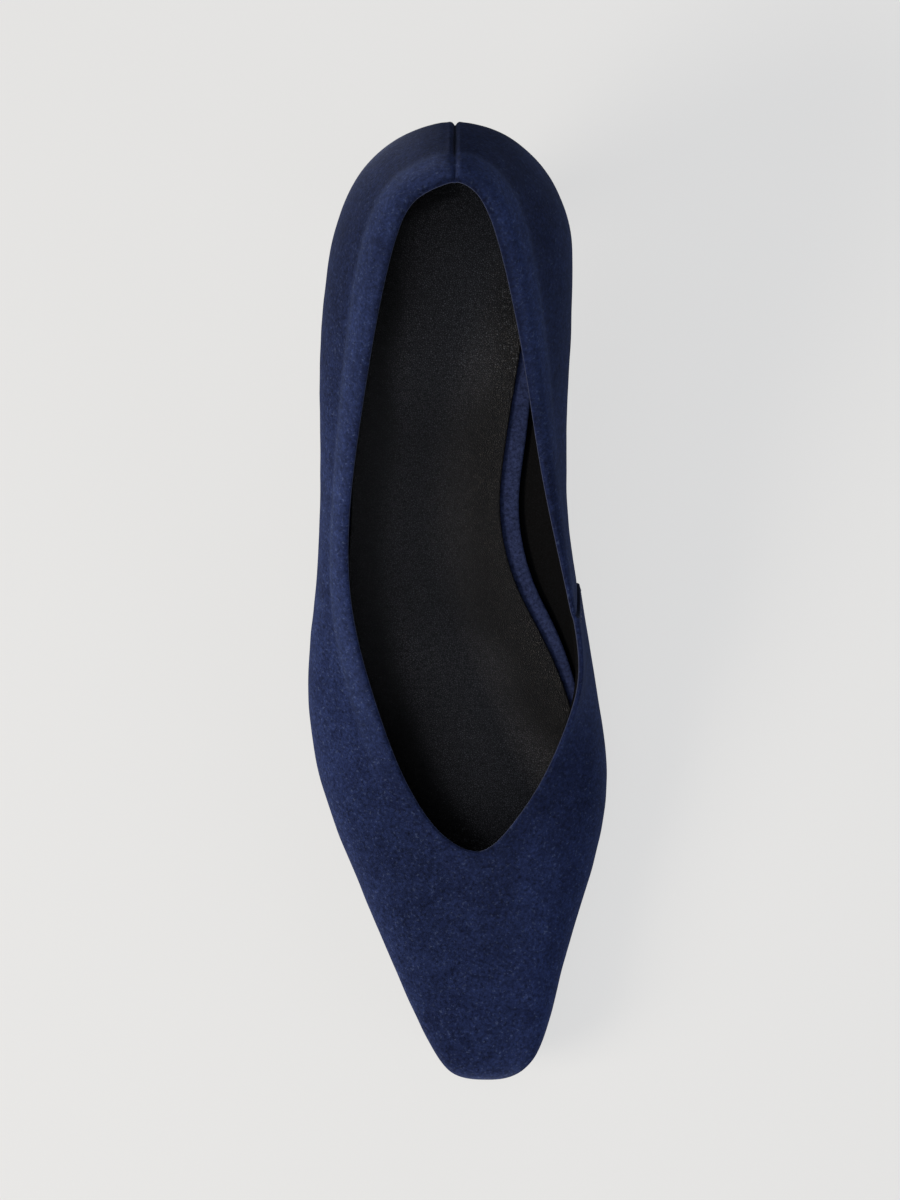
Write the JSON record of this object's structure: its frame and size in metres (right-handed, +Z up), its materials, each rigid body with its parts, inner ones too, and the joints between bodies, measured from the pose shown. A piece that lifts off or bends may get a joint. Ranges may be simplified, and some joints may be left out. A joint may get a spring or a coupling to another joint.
{
  "type": "kitten heel pump",
  "caption": "Low-cut suede pump with a square snip toe, V throat, lapped inner side seam, wrapped footbed, leather sock and a slim covered kitten heel.",
  "frame": {"origin": "on the floor under the middle of the shoe's bounding box", "axes": "+Z up, toe towards -Y and heel towards +Y, inner side of the foot towards +X"},
  "size_m": [0.0821, 0.2559, 0.1033],
  "materials": {
    "suede": "matt napped suede, navy",
    "footbed_suede": "matt napped suede over a thin pad, navy",
    "sock_leather": "fine grained black leather, satin",
    "sole_leather": "smooth black sole leather, satin",
    "lift_rubber": "black rubber, matt"
  },
  "bodies": {
    "root": {"upper": "suede", "heel": "suede", "footbed": "footbed_suede", "sock": "sock_leather", "outsole": "sole_leather", "top_lift": "lift_rubber"}
  },
  "joints": []
}
